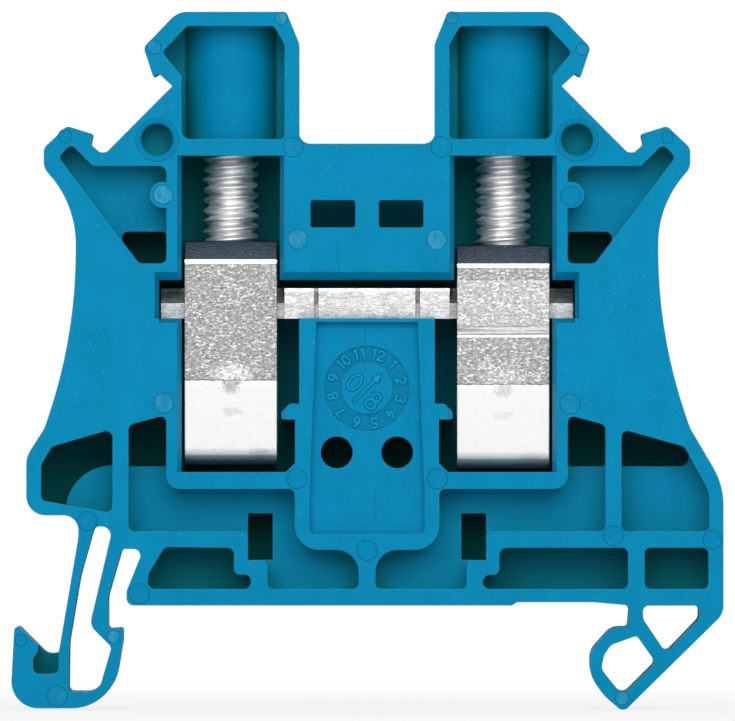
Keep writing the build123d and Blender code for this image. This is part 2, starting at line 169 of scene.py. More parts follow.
class ScrewSettings(bpy.types.PropertyGroup):
    """Thread and head of the clamping screws"""

    pitch: bpy.props.FloatProperty(
        name="Pitch", description="Rise of the thread in one turn", unit="LENGTH", default=0.7 * MM,
    )
    crest_radius: bpy.props.FloatProperty(
        name="Crest radius", description="Outer radius of the thread", unit="LENGTH", default=1.85 * MM,
    )
    root_radius: bpy.props.FloatProperty(
        name="Root radius", description="Inner radius of the thread", unit="LENGTH", default=1.47 * MM,
    )
    head_radius: bpy.props.FloatProperty(
        name="Head radius", description="Radius of the cheese head", unit="LENGTH", default=2.75 * MM,
    )
    head_height: bpy.props.FloatProperty(
        name="Head height", description="Height of the cheese head", unit="LENGTH", default=2.5 * MM,
    )
    slot_width: bpy.props.FloatProperty(
        name="Slot width", description="Width of the screwdriver slot", unit="LENGTH", default=1.0 * MM,
    )
    slot_depth: bpy.props.FloatProperty(
        name="Slot depth", description="Depth of the screwdriver slot", unit="LENGTH", default=1.2 * MM,
    )
    colour: bpy.props.FloatVectorProperty(
        name="Colour", description="Colour of the zinc plate", subtype="COLOR",
        min=0.0, max=1.0, default=(0.9, 0.89, 0.87),
    )


class ClampSettings(bpy.types.PropertyGroup):
    """Finish of the folded clamps"""

    left_colour: bpy.props.FloatVectorProperty(
        name="Left colour", description="Colour of the left clamp's tumbled wall", subtype="COLOR",
        min=0.0, max=1.0, default=(0.293, 0.293, 0.29),
    )
    right_colour: bpy.props.FloatVectorProperty(
        name="Right colour", description="Colour of the right clamp's tumbled wall", subtype="COLOR",
        min=0.0, max=1.0, default=(0.395, 0.395, 0.387),
    )
    bright_colour: bpy.props.FloatVectorProperty(
        name="Bright colour", description="Colour of the smooth lower wall", subtype="COLOR",
        min=0.0, max=1.0, default=(1.0, 0.995, 0.985),
    )
    # Painted reflection: the slanting top edge is painted dark for the dark chamber it faces
    slant_colour: bpy.props.FloatVectorProperty(
        name="Painted slant reflection", description="Colour of the slanting edge at the top", subtype="COLOR",
        min=0.0, max=1.0, default=(0.105, 0.135, 0.16),
    )
    knee_height: bpy.props.FloatProperty(
        name="Knee height", description="Height of the fold between both walls", unit="LENGTH",
        default=5.65 * MM,
    )
    fold_depth: bpy.props.FloatProperty(
        name="Fold depth", description="How far the slanting top edge reaches down", unit="LENGTH",
        default=1.27 * MM,
    )
    edge_radius: bpy.props.FloatProperty(
        name="Edge radius", description="Softness of the tumbled edges", unit="LENGTH",
        default=0.1 * MM,
    )
    dimple_height: bpy.props.FloatProperty(
        name="Dimple height", description="Relief of the tumbled surface", unit="LENGTH",
        default=0.02 * MM,
    )


class BarSettings(bpy.types.PropertyGroup):
    """Finish of the current bar"""

    colour: bpy.props.FloatVectorProperty(
        name="Colour", description="Colour of the tin plate", subtype="COLOR",
        min=0.0, max=1.0, default=(0.67, 0.67, 0.665),
    )
    roughness: bpy.props.FloatProperty(
        name="Roughness", description="Roughness of the tin plate", subtype="FACTOR",
        min=0.0, max=1.0, default=0.42,
    )
    edge_radius: bpy.props.FloatProperty(
        name="Edge radius", description="Softness of the bar's edges", unit="LENGTH", default=0.07 * MM,
    )


class StageSettings(bpy.types.PropertyGroup):
    """Floor, lamps and camera"""

    picture_width: bpy.props.FloatProperty(
        name="Picture width", description="Width that the camera shows at the open face", unit="LENGTH",
        default=PHOTO_WIDTH_PX / PX_PER_MM * MM,
    )
    aim_x: bpy.props.FloatProperty(
        name="Aim sideways", description="Place across that the camera looks at", unit="LENGTH",
        default=(PHOTO_WIDTH_PX / 2 - ORIGIN_COLUMN_PX) / PX_PER_MM * MM,
    )
    aim_z: bpy.props.FloatProperty(
        name="Aim height", description="Height that the camera looks at", unit="LENGTH",
        default=(ORIGIN_ROW_PX - PHOTO_HEIGHT_PX / 2) / PX_PER_MM * MM,
    )
    camera_distance: bpy.props.FloatProperty(
        name="Camera distance", description="Distance from the camera to the open face", unit="LENGTH",
        default=2.0,
    )
    ambient: bpy.props.FloatProperty(
        name="Ambient", description="Strength of the light from all round", min=0.0, default=0.38,
    )
    key_energy: bpy.props.FloatProperty(
        name="Key lamp", description="Power of the lamp above the camera", unit="POWER", default=5.9,
    )
    fill_energy: bpy.props.FloatProperty(
        name="Fill lamp", description="Power of the lamp behind the block", unit="POWER", default=2.2,
    )
    floor_colour: bpy.props.FloatVectorProperty(
        name="Floor colour", description="Colour of the floor", subtype="COLOR",
        min=0.0, max=1.0, default=(0.86, 0.86, 0.86),
    )


def add_node(tree, kind, inputs=None, **settings):
    """Add a shader node, set its options and fill its inputs with values or links."""
    made = tree.nodes.new("ShaderNode" + kind)
    for key, value in settings.items():
        setattr(made, key, value)
    for key, value in (inputs or {}).items():
        socket = made.inputs[key]
        if isinstance(value, bpy.types.NodeSocket):
            tree.links.new(value, socket)
        else:
            socket.default_value = value
    return made


def math_node(tree, operation, first, second=0.0):
    """Combine two numbers with a Math node."""
    return add_node(tree, "Math", {0: first, 1: second}, operation=operation).outputs[0]


def plus(tree, first, second):
    """Add two numbers."""
    return math_node(tree, "ADD", first, second)


def minus(tree, first, second):
    """Take the second number from the first."""
    return math_node(tree, "SUBTRACT", first, second)


def times(tree, first, second):
    """Multiply two numbers."""
    return math_node(tree, "MULTIPLY", first, second)


def spread(tree, value, low, high, out_low=0.0, out_high=1.0):
    """Map a value from one range to another and hold it there."""
    return add_node(
        tree, "MapRange",
        {"Value": value, "From Min": low, "From Max": high, "To Min": out_low, "To Max": out_high},
    ).outputs[0]


def vary(tree, pattern, low, high):
    """Map noise, which mostly lies between 0.3 and 0.7, to a range."""
    return spread(tree, pattern, 0.3, 0.7, low, high)


def spot(tree, x, z, centre, radii):
    """1 in the middle of an upright oval, falling smoothly to 0 at its rim."""
    across = math_node(tree, "DIVIDE", minus(tree, x, centre[0]), radii[0])
    up = math_node(tree, "DIVIDE", minus(tree, z, centre[1]), radii[1])
    squares = [math_node(tree, "POWER", reach, 2.0) for reach in (across, up)]
    away = plus(tree, squares[0], squares[1])
    return add_node(
        tree, "MapRange",
        {"Value": away, "From Min": 0.0, "From Max": 1.0, "To Min": 1.0, "To Max": 0.0},
        interpolation_type="SMOOTHSTEP",
    ).outputs[0]


def band(tree, value, low, high, soft=0.03 * MM):
    """1 where the value lies between low and high, falling to 0 over the soft width inside each end."""
    rise = spread(tree, value, low, low + soft)
    return times(tree, rise, spread(tree, value, high, high - soft))


def mix_colour(tree, share, first, second, blend="MIX"):
    """Mix two colours by a share."""
    made = add_node(tree, "Mix", {0: share, 6: first, 7: second}, data_type="RGBA", blend_type=blend)
    return made.outputs[2]


def noise(tree, place, scale, detail=2.0, roughness=0.5, stretch=(1.0, 1.0, 1.0)):
    """Noise at a scale given as patches per metre, stretched along the axes."""
    moved = add_node(tree, "Mapping", {"Vector": place, "Scale": stretch}).outputs[0]
    return add_node(
        tree, "TexNoise",
        {"Vector": moved, "Scale": scale, "Detail": detail, "Roughness": roughness},
    ).outputs[0]


def rounded_normal(tree, radius):
    """The surface's direction with its edges softened to a radius."""
    return add_node(tree, "Bevel", {"Radius": radius}, samples=6).outputs[0]


def openness(tree, distance, samples):
    """Share of open space round a point, within a distance."""
    return add_node(tree, "AmbientOcclusion", {"Distance": distance}, samples=samples).outputs["AO"]


def add_relief(tree, shader, height, distance, over=None):
    """Give a shader a bump of a height in metres, over a softened direction if given."""
    inputs = {"Height": height, "Distance": distance}
    if over is not None:
        inputs["Normal"] = over
    bump = add_node(tree, "Bump", inputs)
    tree.links.new(bump.outputs[0], shader.inputs["Normal"])


def white_to_camera(tree):
    """1 for what the camera sees, in metal and glass too, and 0 for the light on the object."""
    path = add_node(tree, "LightPath")
    seen = math_node(tree, "MAXIMUM", path.outputs["Is Camera Ray"], path.outputs["Is Glossy Ray"])
    return math_node(tree, "MAXIMUM", seen, path.outputs["Is Transmission Ray"])


def new_material(name):
    """A material with an empty node tree, a principled shader and object coordinates."""
    material = bpy.data.materials.new(name)
    material.use_nodes = True
    tree = material.node_tree
    tree.nodes.clear()
    output = tree.nodes.new("ShaderNodeOutputMaterial")
    shader = tree.nodes.new("ShaderNodeBsdfPrincipled")
    tree.links.new(shader.outputs[0], output.inputs["Surface"])
    place = add_node(tree, "TexCoord").outputs["Object"]
    return material, tree, shader, place


def rgba(colour):
    """A colour with full opacity."""
    return (*colour, 1.0)


def grey(level):
    """A neutral colour with full opacity."""
    return (level, level, level, 1.0)


def knit_lines(tree, place, x, z):
    """Share of the faint upright lines where the flowing plastic met, each wandering a little."""
    # Place across, low end and high end in millimetres
    lines = ((-1.95, 22.4, 24.6), (-0.1, 15.6, 19.0), (0.6, 5.6, 8.2))
    depth = 0.28
    wander = vary(tree, noise(tree, place, 600.0, 2.0), -0.12 * MM, 0.12 * MM)
    wandering = plus(tree, x, wander)
    share = 0.0
    for across, low, high in lines:
        off = math_node(tree, "ABSOLUTE", minus(tree, wandering, across * MM))
        line = spread(tree, off, 0.02 * MM, 0.07 * MM, depth, 0.0)
        above = math_node(tree, "GREATER_THAN", z, low * MM)
        below = math_node(tree, "LESS_THAN", z, high * MM)
        line = times(tree, line, times(tree, above, below))
        share = plus(tree, share, line)
    return share


def raised_tint(tree, colour):
    """The dial's figures: the mesh's own lift value runs from a painted shade at the foot to a painted
    highlight on the crest.
    """
    lift = add_node(tree, "Attribute", attribute_name="lift").outputs["Fac"]
    # Painted shade at the figures' foot and painted highlight on their crest
    painted_foot_shade = spread(tree, lift, 0.1, 0.6, 0.62, 0.0)
    painted_crest_highlight = spread(tree, lift, 0.6, 1.0, 0.0, 0.7)
    colour = mix_colour(tree, painted_foot_shade, colour, FIGURE_FOOT_SHADE)
    return mix_colour(tree, painted_crest_highlight, colour, FIGURE_CREST_HIGHLIGHT)


def marked_tint(tree, place, colour, settings):
    """The pin marks: the mesh's own rim and scuff values darken them and rub them pale."""
    darker = 0.13
    rim = add_node(tree, "Attribute", attribute_name="rim").outputs["Fac"]
    scuff = add_node(tree, "Attribute", attribute_name="scuff").outputs["Fac"]
    brushed = noise(tree, place, 2600.0, 3.0, 0.6, stretch=(1.0, 1.0, 0.5))
    patch = times(tree, scuff, spread(tree, brushed, 0.38, 0.64, 0.12, 0.5))
    colour = mix_colour(tree, darker, colour, PIN_MARK)
    colour = mix_colour(tree, patch, colour, rgba(settings.scuff_colour))
    return mix_colour(tree, rim, colour, PIN_MARK_RIM)


def housing_tint(tree, place, colour, rounded, settings):
    """The housing: a shade on the dial's ring, faint knit lines, edges rubbed pale, and a painted
    highlight on the upper side of edges.
    """
    ring_shade = 0.27
    x, y, z = add_node(tree, "SeparateXYZ", {0: place}).outputs[:3]
    above = minus(tree, z, DIAL_Z)
    from_dial = add_node(tree, "CombineXYZ", {0: x, 1: above}).outputs[0]
    radius = add_node(tree, "VectorMath", {0: from_dial}, operation="LENGTH").outputs["Value"]
    within = math_node(tree, "LESS_THAN", radius, DIAL_RADIUS)
    off_ring = math_node(tree, "ABSOLUTE", minus(tree, y, DIAL_RING_Y))
    on_ring = math_node(tree, "LESS_THAN", off_ring, 0.03 * MM)
    etched = times(tree, times(tree, within, on_ring), ring_shade)
    shade = math_node(tree, "MAXIMUM", etched, knit_lines(tree, place, x, z))
    colour = mix_colour(tree, shade, colour, LINE_SHADE)
    flat = add_node(tree, "NewGeometry").outputs["True Normal"]
    turned = add_node(tree, "VectorMath", {0: rounded, 1: flat}, operation="DOT_PRODUCT")
    corner = spread(tree, turned.outputs["Value"], 0.97, 0.75)
    outer = spread(tree, openness(tree, 0.5 * MM, 4), 0.45, 0.75)
    edge_wear_and_highlight = times(tree, corner, outer)
    wear = spread(tree, noise(tree, place, 1500.0, 4.0, 0.7), 0.44, 0.6, 0.12, 0.9)
    # Painted highlight: edges that face up are painted paler, as if lit from above, on top of the real
    # wear
    upward = add_node(tree, "SeparateXYZ", {0: rounded}).outputs[2]
    glint = spread(tree, upward, 0.2, 0.6, 0.0, settings.edge_glint)
    edge_wear_and_highlight = times(tree, edge_wear_and_highlight, math_node(tree, "MAXIMUM", wear, glint))
    return mix_colour(tree, edge_wear_and_highlight, colour, rgba(settings.scuff_colour))


def moulded_plastic(name, settings, kind="plain"):
    """Blue moulded polyamide: mottled, finely grained, with pale specks, and a greener painted shade
    deep in the pockets.
    """
    material, tree, shader, place = new_material(name)
    mottle = noise(tree, place, 420.0, 3.0)
    streak = noise(tree, place, 900.0, 2.0, stretch=(1.0, 1.0, 0.15))
    fine = noise(tree, place, 9000.0, 1.0)
    tone = plus(tree, vary(tree, mottle, -0.05, 0.04), 1.0)
    tone = times(tree, tone, vary(tree, streak, 0.975, 1.02))
    tone = times(tree, tone, vary(tree, fine, 0.96, 1.04))
    colour = mix_colour(tree, 1.0, rgba(settings.colour), tone, "MULTIPLY")
    specks = spread(tree, noise(tree, place, 5200.0, 1.0), 0.73, 0.8, 0.0, 0.55)
    colour = mix_colour(tree, specks, colour, rgba(settings.scuff_colour))
    # Painted shade: darker, greener colour deep in the pockets, by how closed in a point is
    painted_pocket_shade = spread(tree, openness(tree, 7.0 * MM, 3), 0.06, 0.36, 0.95, 0.0)
    colour = mix_colour(tree, painted_pocket_shade, colour, rgba(settings.deep_colour))
    rounded = rounded_normal(tree, settings.edge_radius)
    if kind == "raised":
        colour = raised_tint(tree, colour)
    elif kind == "marked":
        colour = marked_tint(tree, place, colour, settings)
    else:
        colour = housing_tint(tree, place, colour, rounded, settings)
    tree.links.new(colour, shader.inputs["Base Color"])
    gloss = noise(tree, place, 2600.0, 2.0)
    smooth, rough = settings.roughness - 0.05, settings.roughness + 0.06
    tree.links.new(vary(tree, gloss, smooth, rough), shader.inputs["Roughness"])
    shader.inputs["IOR"].default_value = 1.5
    shader.inputs["Specular IOR Level"].default_value = 0.05
    grain = noise(tree, place, 9000.0, 2.0)
    add_relief(tree, shader, grain, settings.grain_height, rounded)
    return material


def plated_screw(name, settings):
    """Bright zinc plate with cloudy patches and faint turning lines."""
    material, tree, shader, place = new_material(name)
    lines = noise(tree, place, 1800.0, 3.0, stretch=(0.3, 0.3, 3.0))
    cloud = noise(tree, place, 1400.0, 3.0)
    clouded = vary(tree, cloud, 0.88, 1.06)
    tone = times(tree, clouded, spread(tree, lines, 0.3, 0.6, 0.74, 1.08))
    colour = mix_colour(tree, 1.0, rgba(settings.colour), tone, "MULTIPLY")
    tree.links.new(colour, shader.inputs["Base Color"])
    tree.links.new(vary(tree, lines, 0.4, 0.62), shader.inputs["Roughness"])
    shader.inputs["Metallic"].default_value = 1.0
    add_relief(tree, shader, lines, 0.02 * MM)
    return material


def drawn_belt(tree, place, z, edge, knee_z, tone):
    """The tone with the paler belt where the strip was held, brushed, pressed and scored.

    The heights are millimetres above the knee, and the edge is the height made ragged.
    """
    belt = band(tree, z, knee_z + 3.15 * MM, knee_z + 7.05 * MM)
    even = mix_colour(tree, 0.15, tone, grey(1.15))
    dim = times(tree, tone, 0.78)
    tone = mix_colour(tree, belt, dim, even)
    brushed = band(tree, z, knee_z + 3.2 * MM, knee_z + 4.05 * MM, 0.1 * MM)
    lines = noise(tree, place, 7500.0, 2.0, 0.6, stretch=(0.015, 1.0, 1.0))
    line_tone = spread(tree, lines, 0.42, 0.58, 0.35, 1.3)
    tone = mix_colour(tree, times(tree, brushed, 0.7), tone, line_tone)
    pressed = band(tree, edge, knee_z + 3.17 * MM, knee_z + 3.33 * MM)
    tone = mix_colour(tree, pressed, tone, grey(2.2))
    score_width = 0.06
    for height in (3.08, 7.03):
        score = band(tree, edge, knee_z + height * MM, knee_z + (height + score_width) * MM)
        tone = mix_colour(tree, times(tree, score, 0.7), tone, grey(0.3))
    return tone


def smooth_wall(tree, place, x, z, middle, knee_z, flecks, settings, strength):
    """The bright wall under the knee: faint stains and dust, and darker spots round a punched dimple.
    """
    # Place across, drop below the knee, half width and half height in millimetres, and depth
    dimple_spots = ((0.0, 0.3, 0.7, 0.75, 0.75), (0.0, 2.1, 0.8, 0.4, 0.3), (1.9, 5.0, 1.0, 0.6, 0.4))
    stain = spread(tree, noise(tree, place, 1900.0, 5.0, 0.75), 0.6, 0.75, 0.0, 0.16)
    bright = mix_colour(tree, stain, rgba(settings.bright_colour), CLAMP_STAIN)
    smear = noise(tree, place, 1700.0, 4.0, 0.75)
    ragged_x = plus(tree, x, vary(tree, smear, -0.5 * MM, 0.5 * MM))
    speck = spread(tree, flecks, 0.4, 0.6, 0.55, 1.0)
    dust = spread(tree, noise(tree, place, 11000.0, 2.0), 0.6, 0.72, 0.0, 0.25)
    bright = mix_colour(tree, dust, bright, CLAMP_DUST)
    for across, drop, wide, high_up, depth in dimple_spots:
        centre = (middle + across * MM, knee_z - drop * MM)
        dimple_spot = spot(tree, ragged_x, z, centre, (wide * MM, high_up * MM))
        dimple_spot = times(tree, dimple_spot, speck)
        dimple_spot = times(tree, dimple_spot, depth * strength)
        bright = mix_colour(tree, dimple_spot, bright, CLAMP_DIMPLE_DARK)
    return bright


def plated_clamp(name, settings, matte_colour, low, high, glow_share, drawn):
    """Folded steel: tumbled and speckled above the knee, smooth and bright below it.

    A painted highlight makes the wall brightest just above the knee; painted shade darkens its heel and
    a thin line at the knee, and the slanting top edge has a painted dark reflection with a painted
    highlight line under it.
    """
    material, tree, shader, place = new_material(name)
    coordinates = add_node(tree, "SeparateXYZ", {0: place}).outputs
    x, z = coordinates[0], coordinates[2]
    middle = (low[0] + high[0]) / 2
    knee_z = low[2] + settings.knee_height
    fold_z = high[2] - settings.fold_depth
    ragged = noise(tree, place, 3000.0, 2.0)
    edge = plus(tree, z, vary(tree, ragged, -0.03 * MM, 0.03 * MM))
    upper = spread(tree, edge, knee_z - 0.02 * MM, knee_z + 0.02 * MM)
    # Painted shadow: a thin dark line just above the knee fold
    seam = band(tree, edge, knee_z, knee_z + 0.07 * MM)
    # Painted highlight: a thin band under the slanting edge takes the bright lower wall's colour
    painted_highlight_line = band(tree, z, fold_z - 0.3 * MM, fold_z)
    tumbled = times(tree, upper, minus(tree, 1.0, painted_highlight_line))
    flakes = noise(tree, place, 5400.0, 4.0, 0.75, stretch=(0.75, 1.0, 1.1))
    flecks = noise(tree, place, 7500.0, 2.0, 0.6)
    spark = noise(tree, place, 6600.0, 3.0, 0.65, stretch=(0.65, 1.0, 1.2))
    rough_tone = spread(tree, flakes, 0.38, 0.6, 0.5, 1.12)
    rough_tone = plus(tree, rough_tone, spread(tree, spark, 0.54, 0.63, 0.0, 1.1))
    if drawn:
        rough_tone = drawn_belt(tree, place, z, edge, knee_z, rough_tone)
    # Painted highlight: a soft oval brightening just above the knee
    glow = spot(tree, x, z, (middle, knee_z + 0.1 * MM), (1.9 * MM, 1.5 * MM))
    glow = plus(tree, times(tree, glow, glow_share), 1.0)
    rough_tone = mix_colour(tree, 1.0, rough_tone, glow, "MULTIPLY")
    matte = mix_colour(tree, 1.0, rgba(matte_colour), rough_tone, "MULTIPLY")
    # The painted shadow line along the knee
    matte = mix_colour(tree, times(tree, seam, 0.8), matte, grey(0.08))
    # Painted reflection: the slanting top edge takes a dark colour, with sparks of glint in it
    slant = spread(tree, z, fold_z - 0.01 * MM, fold_z + 0.02 * MM)
    glints = spread(tree, spark, 0.62, 0.68, 0.0, 1.6)
    slant_reflection_tone = plus(tree, spread(tree, flakes, 0.38, 0.6, 0.85, 1.1), glints)
    slant_reflection = mix_colour(tree, 1.0, rgba(settings.slant_colour), slant_reflection_tone, "MULTIPLY")
    matte = mix_colour(tree, slant, matte, slant_reflection)
    strength = glow_share * 1.4
    bright = smooth_wall(tree, place, x, z, middle, knee_z, flecks, settings, strength)
    # Painted shade: the heel darkens and loses metal towards the bottom bend
    painted_heel_shade = spread(tree, edge, low[2] + 0.25 * MM, low[2] + 1.15 * MM, 0.95, 0.0)
    bright = mix_colour(tree, painted_heel_shade, bright, CLAMP_HEEL_SHADE)
    colour = mix_colour(tree, tumbled, bright, matte)
    tree.links.new(colour, shader.inputs["Base Color"])
    metallic = minus(tree, 1.0, times(tree, painted_heel_shade, 0.6))
    tree.links.new(metallic, shader.inputs["Metallic"])
    rough = spread(tree, tumbled, 0.0, 1.0, 0.24, 0.42)
    rough = minus(tree, rough, times(tree, slant, 0.1))
    tree.links.new(rough, shader.inputs["Roughness"])
    height = times(tree, plus(tree, flakes, flecks), tumbled)
    rounded = rounded_normal(tree, settings.edge_radius)
    add_relief(tree, shader, height, settings.dimple_height, rounded)
    return material


def tinned_bar(name, settings, low, high):
    """Tin plate with soft scratches and clouds; painted shade makes it darker above its middle and in
    its grooves, and a painted highlight runs along its top edge.
    """
    front_y, middle_z, top_z = low[1], (low[2] + high[2]) / 2, high[2]
    material, tree, shader, place = new_material(name)
    y, z = add_node(tree, "SeparateXYZ", {0: place}).outputs[1:3]
    cloud = noise(tree, place, 1500.0, 4.0, 0.65)
    scratch = noise(tree, place, 3800.0, 4.0, 0.7, stretch=(0.3, 1.0, 1.0))
    crease = math_node(tree, "ABSOLUTE", minus(tree, scratch, 0.5))
    tone = spread(tree, cloud, 0.36, 0.64, 0.9, 1.12)
    scored = spread(tree, crease, 0.0, 0.05, 0.55, 1.06)
    # Painted shade: the upper facet is darkened and the lower one brightened, against how the lamp
    # falls on them
    rub_and_painted_shade = spread(tree, z, middle_z - 0.02 * MM, middle_z + 0.02 * MM, 1.12, 0.56)
    # Painted highlight: a thin bright line along the top edge
    painted_top_highlight = spread(tree, z, top_z - 0.24 * MM, top_z - 0.16 * MM, 1.0, 1.7)
    # Painted shade: surfaces set back in the front grooves are darkened
    behind = math_node(tree, "GREATER_THAN", y, front_y + 0.2 * MM)
    before = math_node(tree, "LESS_THAN", y, front_y + 0.3 * MM)
    in_groove = times(tree, behind, before)
    painted_groove_shade = spread(tree, in_groove, 0.0, 1.0, 1.0, 0.4)
    for share in (scored, rub_and_painted_shade, painted_top_highlight, painted_groove_shade):
        tone = times(tree, tone, share)
    colour = mix_colour(tree, 1.0, rgba(settings.colour), tone, "MULTIPLY")
    tree.links.new(colour, shader.inputs["Base Color"])
    shader.inputs["Metallic"].default_value = 1.0
    smooth, rough = settings.roughness - 0.06, settings.roughness + 0.1
    tree.links.new(vary(tree, scratch, smooth, rough), shader.inputs["Roughness"])
    rounded = rounded_normal(tree, settings.edge_radius)
    add_relief(tree, shader, scratch, 0.01 * MM, rounded)
    return material


def grid_faces(rows, columns, wrap=True):
    """Quads of a grid of rows by columns, closed across the columns when wrap is true."""
    row = np.arange(rows - 1)[:, None]
    column = np.arange(columns if wrap else columns - 1)[None, :]
    after = (column + 1) % columns
    a = row * columns + column
    b = row * columns + after
    return np.stack([a, b, b + columns, a + columns], axis=-1).reshape(-1, 4)


def fan(centre, ring, reverse=False):
    """Triangles from a centre vertex to a closed ring of vertices."""
    after = np.roll(ring, -1)
    middle = np.full(ring.shape, centre)
    order = [middle, after, ring] if reverse else [middle, ring, after]
    return np.stack(order, axis=-1)


def add_mesh(name, points, faces, smooth_angle=math.radians(35), values=None):
    """An object at the origin from points in metres and lists of faces, cleaned and smoothed.

    The values are a number for each point, kept on the mesh under their names.
    """
    mesh = bpy.data.meshes.new(name)
    mesh.from_pydata(points.tolist(), [], [face.tolist() for group in faces for face in group])
    for key, numbers in (values or {}).items():
        layer = mesh.attributes.new(key, "FLOAT", "POINT")
        layer.data.foreach_set("value", np.asarray(numbers, dtype=np.float32))
    work = bmesh.new()
    work.from_mesh(mesh)
    bmesh.ops.remove_doubles(work, verts=work.verts, dist=1e-7)
    bmesh.ops.dissolve_degenerate(work, edges=work.edges, dist=1e-7)
    bmesh.ops.recalc_face_normals(work, faces=work.faces)
    work.to_mesh(mesh)
    work.free()
    mesh.shade_smooth()
    mesh.set_sharp_from_angle(angle=smooth_angle)
    made = bpy.data.objects.new(name, mesh)
    bpy.context.scene.collection.objects.link(made)
    return made


def dress(thing, material):
    """Give an object one material."""
    thing.data.materials.clear()
    thing.data.materials.append(material)


def turned_points(radii, heights, axis_x, segments):
    """Points of a turned shape: each (radius, height) carried once round an upright axis."""
    angle = np.linspace(0.0, 2 * np.pi, segments, endpoint=False)[None, :]
    radius = np.asarray(radii)[:, None]
    height = np.asarray(heights)[:, None] + 0 * angle
    x = axis_x + radius * np.cos(angle)
    y = radius * np.sin(angle)
    return np.stack([x, y, height], axis=-1).reshape(-1, 3)


def thread_mesh(settings, axis_x, low_z, high_z, segments=72, steps=14):
    """Points and faces of a threaded shank.

    Rows climb with the helix: height is (row / steps + angle / full turn) times the pitch, held
    between both ends. The radius runs from root to crest as a trapezium of the height's place
    in its pitch, and a cone at the tip limits it.
    """
    pitch = settings.pitch
    root_reach, flank_width = 0.84, 0.62
    tip_inset, tip_slope = 0.25 * MM, 1.1
    turns = int(math.ceil((high_z - low_z) / pitch)) + 2
    rows = turns * steps + 1
    angle = np.linspace(0.0, 2 * np.pi, segments, endpoint=False)[None, :]
    row = np.arange(rows)[:, None]
    climb = (row / steps - 1.0 + angle / (2 * np.pi)) * pitch
    height = np.clip(low_z + climb, low_z, high_z)
    place = ((height - low_z) / pitch - angle / (2 * np.pi)) % 1.0
    flank = np.abs(place - 0.5) * 2.0
    share = np.clip((root_reach - flank) / flank_width, 0.0, 1.0)
    radius = settings.root_radius + (settings.crest_radius - settings.root_radius) * share
    cone = settings.root_radius - tip_inset + (height - low_z) * tip_slope
    radius = np.minimum(radius, cone)
    points = np.stack(
        [axis_x + radius * np.cos(angle), radius * np.sin(angle), height], axis=-1
    ).reshape(-1, 3)
    below = np.arange(rows - 1)[:, None]
    column = np.arange(segments)[None, :]
    seam = column == segments - 1
    after = (column + 1) % segments
    lift = np.where(seam, steps, 0)
    lower = np.minimum(below + lift, rows - 1)
    upper = np.minimum(below + 1 + lift, rows - 1)
    quads = np.stack(
        [below * segments + column, lower * segments + after, upper * segments + after,
         (below + 1) * segments + column], axis=-1,
    ).reshape(-1, 4)
    centres = np.array([[axis_x, 0.0, low_z], [axis_x, 0.0, high_z]])
    count = len(points)
    tip_ring = np.arange(segments)
    top_ring = (rows - 1) * segments + np.arange(segments)
    points = np.concatenate([points, centres])
    return points, [quads, fan(count, tip_ring, True), fan(count + 1, top_ring)]


def head_mesh(settings, axis_x, seat_z, segments=64, land_steps=40):
    """Points and faces of a slotted head: a turned disc and the two lands that stand on it.

    A land's outline is the head's circle cut off by the slot's side, its top is drawn in by a
    small chamfer, and its walls run straight down into the disc.
    """
    floor_z = seat_z + settings.head_height - settings.slot_depth
    top_z = seat_z + settings.head_height
    chamfer = 0.2 * MM
    foot_z = floor_z - 0.1 * MM
    radius = settings.head_radius
    land_y = 0.55 * radius
    radii = [0.0, radius - chamfer, radius, radius, 0.0]
    heights = [seat_z, seat_z, seat_z + chamfer, floor_z, floor_z]
    points = [turned_points(radii, heights, axis_x, segments)]
    faces = [grid_faces(len(radii), segments)]
    start = math.asin(settings.slot_width / 2 / radius)
    for side in (1, -1):
        angle = np.linspace(start, math.pi - start, land_steps)
        outline = np.stack([radius * np.cos(angle), side * radius * np.sin(angle)], axis=-1)
        middle = np.array([0.0, side * land_y])
        drawn_in = middle + (outline - middle) * (1 - chamfer / radius)
        levels = [(outline, foot_z), (outline, top_z - chamfer), (drawn_in, top_z)]
        ring = [
            np.column_stack([axis_x + flat[:, 0], flat[:, 1], np.full(len(flat), z)])
            for flat, z in levels
        ]
        centre = np.array([[axis_x, middle[1], top_z], [axis_x, middle[1], foot_z]])
        offset = sum(len(part) for part in points)
        points.append(np.concatenate(ring + [centre]))
        count = len(outline)
        faces.append(grid_faces(3, count) + offset)
        faces.append(fan(3 * count, 2 * count + np.arange(count)) + offset)
        faces.append(fan(3 * count + 1, np.arange(count), True) + offset)
    return np.concatenate(points), faces


def arc(centre, radii, start, end, steps=14):
    """Points along an ellipse from one angle to another, in degrees counter-clockwise from +X."""
    turn = np.radians(np.linspace(start, end, steps))
    return np.column_stack([np.cos(turn), np.sin(turn)]) * radii + centre


